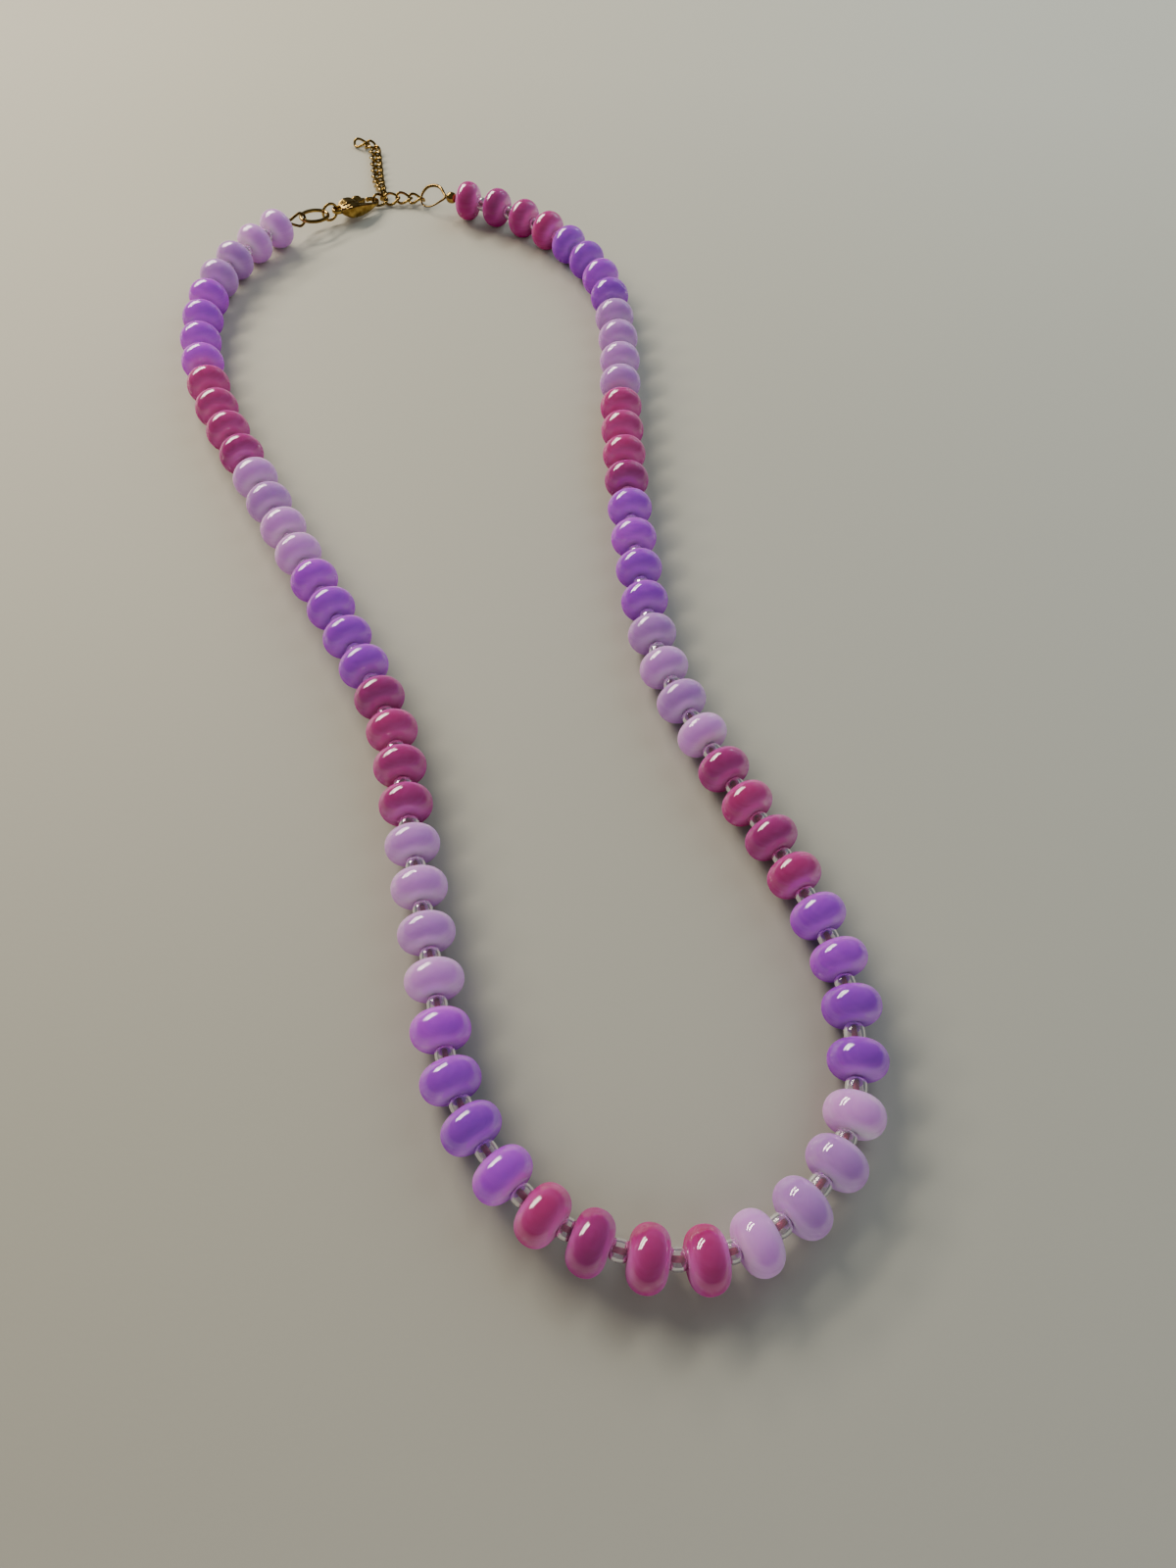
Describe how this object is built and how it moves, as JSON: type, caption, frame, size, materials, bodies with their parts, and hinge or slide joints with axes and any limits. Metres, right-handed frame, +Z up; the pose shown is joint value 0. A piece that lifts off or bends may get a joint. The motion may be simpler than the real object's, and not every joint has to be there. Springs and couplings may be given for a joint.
{
  "type": "beaded necklace",
  "caption": "Short necklace of smooth stone rondelles with small spacers, closed by a gold lobster clasp hooked into an extender chain with a free tail.",
  "frame": {"origin": "on the table, under the middle of the necklace's bounding box", "axes": "+Z up from the table, +Y from the front of the necklace towards its clasp, +X to the right as seen from the front"},
  "size_m": [0.1282, 0.2542, 0.008],
  "materials": {
    "stone": "gloss",
    "gold": "satin"
  },
  "bodies": {
    "necklace": {"bead_string_left": "stone", "bead_string_right": "stone", "wire_guardian_left": "gold", "jump_ring": "gold", "clasp_ring": "gold", "clasp_body": "gold", "end_loop_right": "gold", "crimp_right": "gold", "chain_link_1": "gold", "chain_link_2": "gold", "chain_link_3": "gold", "chain_link_4": "gold", "chain_tail_1": "gold", "chain_tail_2": "gold", "chain_tail_3": "gold", "chain_tail_4": "gold", "chain_tail_5": "gold", "chain_tail_6": "gold", "chain_tail_7": "gold", "chain_tail_8": "gold", "chain_tail_9": "gold", "chain_tail_10": "gold"},
    "lever": {"clasp_lever": "gold"}
  },
  "joints": [
    {"name": "lever_hinge", "type": "hinge", "parent": "necklace", "child": "lever", "pos_m": [-0.03849, 0.09557, 0.00228], "axis": [-0.0778, -0.0698, -0.9945], "range_deg": [0, 25], "stiffness_Nm_per_rad": 0.002, "springref_deg": -20.05}
  ]
}
